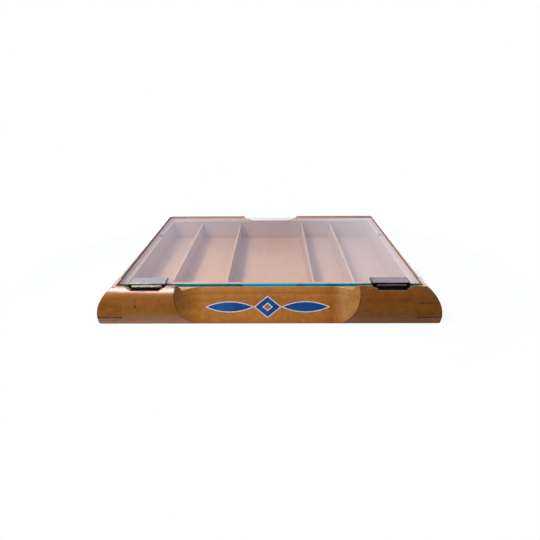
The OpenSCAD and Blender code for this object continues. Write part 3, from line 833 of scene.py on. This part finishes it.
def glassMaterial():
    material, n, place = newMaterial("lidGlass")
    smears = n.noise(n.stretched(place, (9, 5, 9)), 4.0, 0.6, 0.4)
    front = n.minus(1.0, n.add("ShaderNodeNewGeometry").outputs["Backfacing"])
    fresnel = n.add("ShaderNodeFresnel", {"IOR": 1.5}).outputs[0]
    reflected = n.math("MULTIPLY", n.product(fresnel, glassLook["reflection"], front), 1.0, clamp=True)
    amount = n.product(reflected, n.minus(1.0, lightRay(n)))
    mirror = n.add("ShaderNodeBsdfPrincipled", {"Base Color": glassLook["mirror"], "Metallic": 1.0,
                                                "Roughness": n.remap(smears, 0.3, 0.7, 0.02, 0.06)})
    clear = n.add("ShaderNodeBsdfTransparent", {"Color": glassLook["tint"]})
    finish(n, n.blend(amount, clear.outputs[0], mirror.outputs[0]))
    return material


def glassEdgeMaterial():
    material, n, place = newMaterial("lidGlassEdge")
    x = n.axes(place)[0]
    mottle = n.noise(n.stretched(place, (190, 260, 900)), 5.0, 0.68)
    broad = n.noise(n.stretched(place, (32, 30, 30)), 2.0, 0.5)
    colour = n.mix(n.remap(mottle, 0.38, 0.64), glassLook["edgeDark"], glassLook["edgeMiddle"])
    lighter = n.product(n.remap(broad, 0.42, 0.55), n.remap(x, 0.03, 0.08, 0.25, 1.0))
    colour = n.mix(lighter, colour, glassLook["edgeBright"])
    # Painted light: a bright band about the middle of the edge, for light that comes through the glass
    across = n.absolute(n.minus(x, glassLook["lightBandX"]))
    colour = n.mix(n.below(across, glassLook["lightBandHalf"]), colour, glassLook["edgeBright"])
    # The emission is painted light: the edge glows a little
    shader = n.add("ShaderNodeBsdfPrincipled", {
        "Base Color": colour, "Roughness": n.remap(mottle, 0.3, 0.7, 0.22, 0.4),
        "Normal": n.bump(mottle, 0.1, 0.0004), "Specular IOR Level": 0.0,
        "Emission Color": colour, "Emission Strength": glassLook["edgeGlow"]})
    clear = n.add("ShaderNodeBsdfTransparent", {"Color": glassLook["tint"]})
    passed = n.larger(n.add("ShaderNodeNewGeometry").outputs["Backfacing"], lightRay(n))
    finish(n, n.blend(passed, shader.outputs[0], clear.outputs[0]))
    return material


glassMaterials = [glassMaterial(), glassEdgeMaterial()]
glassLid = finePiece("glassLid", "glass_lid", "lid", 0.00015, glassMaterials, 1)
for face in glassLid.data.polygons:
    if abs(face.normal.z) < 0.5:
        face.material_index = 1
print("glass made")


# Hinges, screws and nails. top is the colour of the plates' upper faces where it differs, and crest says
# how bright the painted highlight along the barrels is above crestZ.
metalLooks = {
    "brightHinge": {"base": (0.17, 0.16, 0.155), "stain": (0.06, 0.055, 0.05), "wear": 0.5,
                    "roughness": 0.32, "top": (0.37, 0.36, 0.365), "crest": 0.9, "crestZ": 0.0428},
    "darkHinge": {"base": (0.045, 0.028, 0.022), "stain": (0.018, 0.011, 0.008), "wear": 0.5,
                  "roughness": 0.38, "top": (0.2, 0.175, 0.186), "crest": 0.3, "crestZ": 0.0424},
    "screwSteel": {"base": (0.4, 0.38, 0.36), "stain": (0.16, 0.13, 0.11), "wear": 0.6, "roughness": 0.38},
    "nailSteel": {"base": (0.2, 0.18, 0.17), "stain": (0.09, 0.06, 0.045), "wear": 0.6, "roughness": 0.5},
    "pinSteel": {"base": (0.5, 0.48, 0.46), "stain": (0.25, 0.22, 0.2), "wear": 0.4, "roughness": 0.28},
}
# The plates' tops are lighter than the rest, up to their rolled side edges. The barrels lie in front of
# the neck, where the plate bends down. Painted shade darkens the side edges, the neck and the barrels
# below a painted highlight along their crests.
hingePlate = {
    "half": 0.0225,
    "topZ": (0.0443, 0.0446),
    "neckY": (-0.1276, -0.1245),
    "neckZ": 0.0438,
    "paintedShade": (0.02, 0.017, 0.015),
}


def plateColour(n, place, look, stains, colour):
    x, y, z = n.axes(place)
    half = hingePlate["half"]
    inward = n.minus(hingeX, n.absolute(x))
    fromMiddle = n.absolute(n.minus(n.absolute(x), hingeX))
    flat = n.remap(fromMiddle, half - 0.0014, half - 0.0010, 1.0, 0.0)
    flat = n.product(flat, n.remap(z, *hingePlate["topZ"], 0.0, 0.95))
    colour = n.mix(flat, colour, n.mix(n.remap(stains, 0.45, 0.75, 0.0, 0.3), look["top"], look["base"]))
    # Painted highlight along the barrels' crests
    barrel = n.below(y, hingePlate["neckY"][0])
    crest = n.remap(z, look["crestZ"], look["crestZ"] + 0.0006, 0.0, look["crest"])
    colour = n.mix(n.product(barrel, crest), colour, look["top"])
    # Painted shade on the side edges, on the barrels below their crests and at the neck
    sides = n.larger(n.remap(fromMiddle, half - 0.0005, half - 0.0003),
                     n.remap(inward, half - 0.0015, half - 0.0012))
    low = n.product(barrel, n.remap(z, look["crestZ"] - 0.0008, look["crestZ"] + 0.0001, 1.0, 0.0))
    neck = n.product(n.window(y, *hingePlate["neckY"], 0.0001), n.below(z, hingePlate["neckZ"]))
    paintedShadeMask = n.product(n.larger(sides, n.larger(low, neck)), 0.9)
    return n.mix(paintedShadeMask, colour, hingePlate["paintedShade"])


def metalMaterial(name):
    look = metalLooks[name]
    material, n, place = newMaterial(name)
    brushed = n.noise(n.stretched(place, (60, 2400, 2400)), 3.0, 0.6)
    stains = n.noise(n.stretched(place, 220), 5.0, 0.62, 0.3)
    colour = n.mix(n.remap(stains, 0.52, 0.72, 0.0, look["wear"]), look["base"], look["stain"])
    if "top" in look:
        colour = plateColour(n, place, look, stains, colour)
    roughness = n.remap(stains, 0.3, 0.7, look["roughness"] - 0.05, look["roughness"] + 0.1)
    roughness = n.plus(roughness, n.product(brushed, 0.08))
    shader = n.add("ShaderNodeBsdfPrincipled", {
        "Base Color": colour, "Roughness": roughness, "Metallic": 1.0,
        "Normal": n.bump(stains, 0.08, 0.0002, n.bump(brushed, 0.06, 0.0001))})
    finish(n, shader.outputs[0])
    return material


metals = {name: metalMaterial(name) for name in metalLooks}
hingePieces = [  # name, node, body, slot, bevel, metal
    ("leftHingeClip", "left_hinge_clip", "lid", "bright_hinge", 0.00018, "brightHinge"),
    ("rightHingeClip", "right_hinge_clip", "lid", "dark_hinge", 0.00018, "darkHinge"),
    ("leftHingeLeaf", "left_hinge_leaf", "tray", "bright_hinge", 0.00015, "brightHinge"),
    ("rightHingeLeaf", "right_hinge_leaf", "tray", "dark_hinge", 0.00015, "darkHinge"),
    ("leftHingePin", "left_hinge_pin", "tray", "pin_steel", 0.0003, "pinSteel"),
    ("rightHingePin", "right_hinge_pin", "tray", "dark_hinge", 0.0003, "darkHinge"),
]
for name, node, body, slot, bevel, metal in hingePieces:
    finePiece(name, node, body, bevel, [metals[metal]])
for node in ("left_leaf_screws", "right_leaf_screws", "left_clip_screws", "right_clip_screws"):
    repaint(node, metals["screwSteel"])
repaint("bottom_panel_nails", metals["nailSteel"])
print("metal pieces made")


# Felt liners in the clips and rubber bumpers on the ledges
softLooks = {
    "linerFelt": {"base": (0.05, 0.06, 0.045), "other": (0.09, 0.1, 0.075), "scale": 2600,
                  "roughness": 0.95, "specular": 0.5},
    "bumperRubber": {"base": (0.008, 0.036, 0.06), "other": (0.016, 0.05, 0.08), "scale": 700,
                     "roughness": 0.6, "specular": 0.15},
}
# The bumpers are flat pads that lie on the ledge, stretched about their middles
bumperPad = {"middleX": 0.177, "middleY": 0.0595, "wider": 1.28, "longer": 1.85, "ledgeZ": 0.0385}


def softMaterial(name):
    look = softLooks[name]
    material, n, place = newMaterial(name)
    grain = n.noise(n.stretched(place, look["scale"]), 3.0, 0.6)
    shader = n.add("ShaderNodeBsdfPrincipled", {
        "Base Color": n.mix(n.remap(grain, 0.35, 0.65), look["base"], look["other"]),
        "Roughness": n.remap(grain, 0.3, 0.7, look["roughness"] - 0.08, look["roughness"]),
        "Specular IOR Level": look["specular"],
        "Normal": n.bump(grain, 0.3, 0.0002)})
    finish(n, shader.outputs[0])
    return material


felt = softMaterial("linerFelt")
rubber = softMaterial("bumperRubber")
repaint("left_clip_liner", felt)
repaint("right_clip_liner", felt)
for side, name in ((-1, "left"), (1, "right")):
    bumper = finePiece(f"{name}GlassBumper", f"{name}_glass_bumper", "tray", 0.00015,
                       [rubber])
    middle = Vector((side * bumperPad["middleX"], bumperPad["middleY"], 0.0))
    for vertex in bumper.data.vertices:
        away = vertex.co - middle
        vertex.co = middle + Vector((away.x * bumperPad["wider"], away.y * bumperPad["longer"],
                                     max(away.z, bumperPad["ledgeZ"])))
print("liners and bumpers made")


# Studio: a pale floor with a white backdrop, a soft sky, and the veil of light that glossy faces see
stage = {
    "floor": (0.96, 0.96, 0.96),
    "bounce": (0.5, 0.5, 0.5),
    "nearWhite": 0.9,
    "trayHalf": (0.203, 0.1475, 1),
    "clearFrom": 1.25,
    "clearTo": 1.9,
    "backdropShine": 4.2,
    "skyLight": (0.94, 1.03, 1.5),
    "skyLow": 0.08,
    "skyHigh": 1.0,
    "veilLeft": (1.1, 1.06, 1.24),
    "veilMiddle": (0.52, 0.5, 0.6),
    "veilRight": (1.85, 1.8, 2.02),
    "veilLow": 0.9,
    "veilHigh": 1.05,
    "frontDark": (0.03, 0.028, 0.026),
}
lamps = {
    "key": {"power": 0.295, "colour": (1.0, 0.86, 0.58), "size": (0.2, 0.2), "spread": 38,
            "place": (-0.475, -0.21, 0.78), "aim": (-0.01, -0.05, 0.02)},
    "fill": {"power": 2.88, "colour": (1.0, 1.0, 1.0), "size": (0.34, 0.15), "spread": 180,
             "place": (-0.4, -0.68, 0.555), "aim": (0.0, 0.0, 0.02)},
}
view = {
    "place": (0.006523, -0.548818, 0.255672),
    "pitch": 24.635,
    "yaw": -0.674,
    "roll": -0.45,
    "lens": 26.452,
}


# The floor keeps the shadow near the tray and turns white further out
def studioFloor():
    mesh = bpy.data.meshes.new("studioFloor")
    work = bmesh.new()
    bmesh.ops.create_grid(work, x_segments=2, y_segments=2, size=6.0)
    work.to_mesh(mesh)
    work.free()
    floor = bpy.data.objects.new("studioFloor", mesh)
    scene.collection.objects.link(floor)
    material, n, place = newMaterial("studioFloorPaint")
    path = n.add("ShaderNodeLightPath").outputs
    toCamera, toGloss = path["Is Camera Ray"], path["Is Glossy Ray"]
    seen = n.larger(toCamera, toGloss)
    paint = n.add("ShaderNodeBsdfPrincipled", {"Base Color": n.mix(seen, stage["bounce"], stage["floor"]),
                                               "Roughness": 0.9, "Specular IOR Level": 0.1})
    behind = n.remap(n.axes(place)[1], -0.05, 0.2, 0.0, stage["backdropShine"] - 1.0, smooth=True)
    glow = n.plus(n.product(behind, toGloss), 1.0)
    white = n.add("ShaderNodeEmission", {"Color": (1, 1, 1), "Strength": glow})
    away = n.fromCentre(place, (0, 0, 0), stage["trayHalf"])
    clearness = n.remap(away, stage["clearFrom"], stage["clearTo"], smooth=True)
    lifted = n.larger(clearness, n.product(toCamera, stage["nearWhite"]))
    finish(n, n.blend(n.product(lifted, seen), paint.outputs[0], white.outputs[0]))
    mesh.materials.append(material)


# White for the camera, a soft sky for light, and the veil for glossy faces
def studioSky():
    world = bpy.data.worlds.new("studio")
    scene.world = world
    world.use_nodes = True
    n = Nodes(world.node_tree)
    path = n.add("ShaderNodeLightPath").outputs
    x, y, z = n.axes(n.add("ShaderNodeTexCoord").outputs["Generated"])
    veil = n.mix(n.remap(x, -0.3, 0.0), stage["veilLeft"], stage["veilMiddle"])
    veil = n.mix(n.remap(x, 0.03, 0.33), veil, stage["veilRight"])
    rise = n.remap(z, 0.28, 0.45, stage["veilLow"], stage["veilHigh"])
    grey = n.add("ShaderNodeCombineColor", {"Red": rise, "Green": rise, "Blue": rise})
    veil = n.tint(1.0, veil, grey.outputs[0])
    veil = n.mix(n.remap(z, 0.15, 0.25, 1.0, 0.0, smooth=True), veil, (stage["backdropShine"],) * 3)
    veil = n.mix(n.remap(y, -0.1, 0.4, smooth=True), stage["frontDark"], veil)
    strength = n.remap(z, 0.0, 1.0, stage["skyLow"], stage["skyHigh"])
    lightSky = n.add("ShaderNodeBackground", {"Color": stage["skyLight"], "Strength": strength})
    veilSky = n.add("ShaderNodeBackground", {"Color": veil, "Strength": 1.0})
    whiteSky = n.add("ShaderNodeBackground", {"Color": (1, 1, 1), "Strength": 1.0})
    sky = n.blend(path["Is Glossy Ray"], lightSky.outputs[0], veilSky.outputs[0])
    sky = n.blend(path["Is Camera Ray"], sky, whiteSky.outputs[0])
    n.add("ShaderNodeOutputWorld", {"Surface": sky})


# The lamps light everything but the glass, where they would show as bright patches
def studioLamps():
    notTheGlass = bpy.data.collections.new("notTheGlass")
    notTheGlass.objects.link(glassLid)
    notTheGlass.collection_objects[0].light_linking.link_state = "EXCLUDE"
    for name, lamp in lamps.items():
        data = bpy.data.lights.new(f"{name}Light", "AREA")
        data.energy = lamp["power"]
        data.color = lamp["colour"]
        data.shape = "RECTANGLE"
        data.size, data.size_y = lamp["size"]
        data.spread = math.radians(lamp["spread"])
        light = bpy.data.objects.new(f"{name}Light", data)
        scene.collection.objects.link(light)
        light.location = lamp["place"]
        light.rotation_euler = (Vector(lamp["aim"]) - light.location).to_track_quat("-Z", "Y").to_euler()
        light.visible_camera = False
        light.light_linking.receiver_collection = notTheGlass


def studioCamera():
    yaw, pitch, roll = (math.radians(view[key]) for key in ("yaw", "pitch", "roll"))
    forward = Vector((math.sin(yaw) * math.cos(pitch), math.cos(yaw) * math.cos(pitch), -math.sin(pitch)))
    right = Vector((math.cos(yaw), -math.sin(yaw), 0))
    up = right.cross(forward)
    rightRolled = right * math.cos(roll) + up * math.sin(roll)
    upRolled = up * math.cos(roll) - right * math.sin(roll)
    turn = Matrix((rightRolled, upRolled, -forward)).transposed()
    data = bpy.data.cameras.new("camera")
    data.lens = view["lens"]
    data.sensor_width = 36
    data.clip_start = 0.01
    camera = bpy.data.objects.new("camera", data)
    scene.collection.objects.link(camera)
    camera.matrix_world = Matrix.Translation(view["place"]) @ turn.to_4x4()
    scene.camera = camera


studioFloor()
studioSky()
studioLamps()
studioCamera()
scene.view_settings.view_transform = "Standard"
print("stage made")
